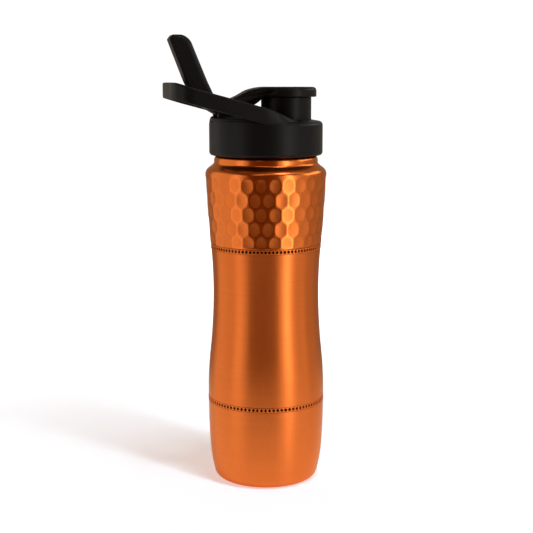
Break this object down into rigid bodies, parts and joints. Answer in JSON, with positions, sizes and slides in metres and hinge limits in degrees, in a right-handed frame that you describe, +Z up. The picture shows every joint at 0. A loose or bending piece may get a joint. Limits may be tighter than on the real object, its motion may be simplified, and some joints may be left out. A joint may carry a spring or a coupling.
{
  "type": "water bottle",
  "caption": "Copper water bottle with a waisted body, hammered shoulder and beaded seams, and a black screw lid with spout, flip cover, thumb lever and carry loop.",
  "frame": {"origin": "on the ground at the bottle's axis, in the plane of the foot ring", "axes": "+Z up along the bottle's axis; -X towards the carry loop and the hinge; +X towards the spout"},
  "size_m": [0.0975, 0.074, 0.2735],
  "materials": {
    "copper_satin": "brushed copper",
    "copper_polished": "polished copper",
    "lid_plastic": "fine satin grain",
    "silicone": "satin",
    "pin_steel": "ground"
  },
  "bodies": {
    "bottle": {"base_disc": "copper_satin", "base_shell": "copper_satin", "lower_bead_hoop": "copper_satin", "waist_shell": "copper_satin", "upper_bead_hoop": "copper_satin", "shoulder_shell": "copper_polished", "neck_collar": "copper_polished"},
    "gasket": {"lid_gasket": "silicone"},
    "lid": {"thread_liner": "lid_plastic", "lid_cap": "lid_plastic", "hinge_pin": "pin_steel"},
    "cover": {"flip_cover": "lid_plastic", "cover_seal": "silicone"}
  },
  "joints": [
    {"name": "lid_lift", "type": "slide", "parent": "bottle", "child": "gasket", "axis": [0, 0, 1], "range_m": [0, 0.009]},
    {"name": "lid_turn", "type": "hinge", "parent": "gasket", "child": "lid", "pos_m": [0, 0, 0.21], "axis": [0, 0, 1], "range_deg": [0, 810]},
    {"name": "cover_flip", "type": "hinge", "parent": "lid", "child": "cover", "pos_m": [-0.027, 0, 0.2295], "axis": [0, -1, 0], "range_deg": [0, 15]}
  ],
  "couplings": [
    {"joint": "lid_lift", "follows": "lid_turn", "m_per_rad": 0.00063662}
  ]
}
